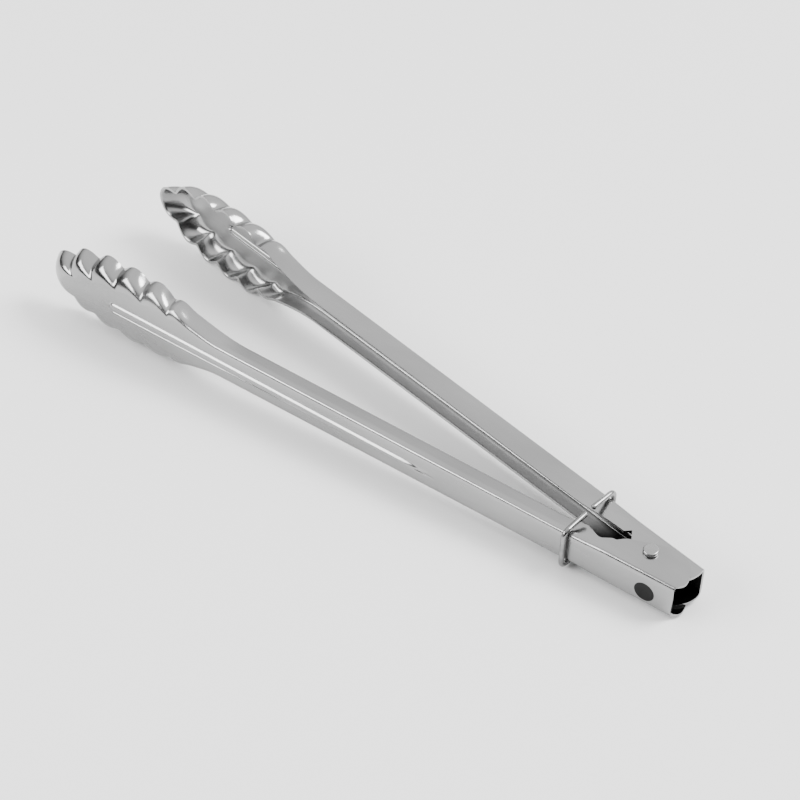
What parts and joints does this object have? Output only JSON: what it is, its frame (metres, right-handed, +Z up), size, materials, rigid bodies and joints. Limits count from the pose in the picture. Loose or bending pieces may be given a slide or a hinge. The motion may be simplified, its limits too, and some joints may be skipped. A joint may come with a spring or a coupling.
{
  "type": "spring loaded kitchen tongs",
  "caption": "Scalloped steel serving tongs: channel arms on a rivet, opened by a torsion spring and held shut by a sliding wire ring.",
  "frame": {"origin": "middle of the tongs' bounding box, on the surface that they lie on", "axes": "+X towards the pivot end, -X towards the heads; the near arm is on the -Y side and the far arm on the +Y side; +Z up, 1.9 degrees from the rivet's axis"},
  "size_m": [0.3054, 0.0752, 0.0357],
  "materials": {
    "arm_steel": "satin, with polished bends",
    "rivet_steel": "satin, rounded rim",
    "spring_steel": "drawn wire",
    "ring_wire": "polished wire"
  },
  "bodies": {
    "near_arm": {"near_arm": "arm_steel", "rivet": "rivet_steel", "torsion_spring": "spring_steel"},
    "far_arm": {"far_arm": "arm_steel"},
    "lock_ring": {"lock_ring": "ring_wire"}
  },
  "joints": [
    {"name": "squeeze", "type": "hinge", "parent": "near_arm", "child": "far_arm", "pos_m": [0.13342, 0, 0.00981], "axis": [0.0332, 0, 0.9995], "range_deg": [0, 11.6], "stiffness_Nm_per_rad": 0.6, "springref_deg": -28.65, "deforming": ["torsion_spring"]},
    {"name": "ring_slide", "type": "slide", "parent": "near_arm", "child": "lock_ring", "axis": [-0.9811, -0.1906, 0.0325], "range_m": [0, 0.0303]}
  ],
  "couplings": [
    {"joint": "ring_slide", "follows": "squeeze", "m_per_rad": 0.1495}
  ]
}
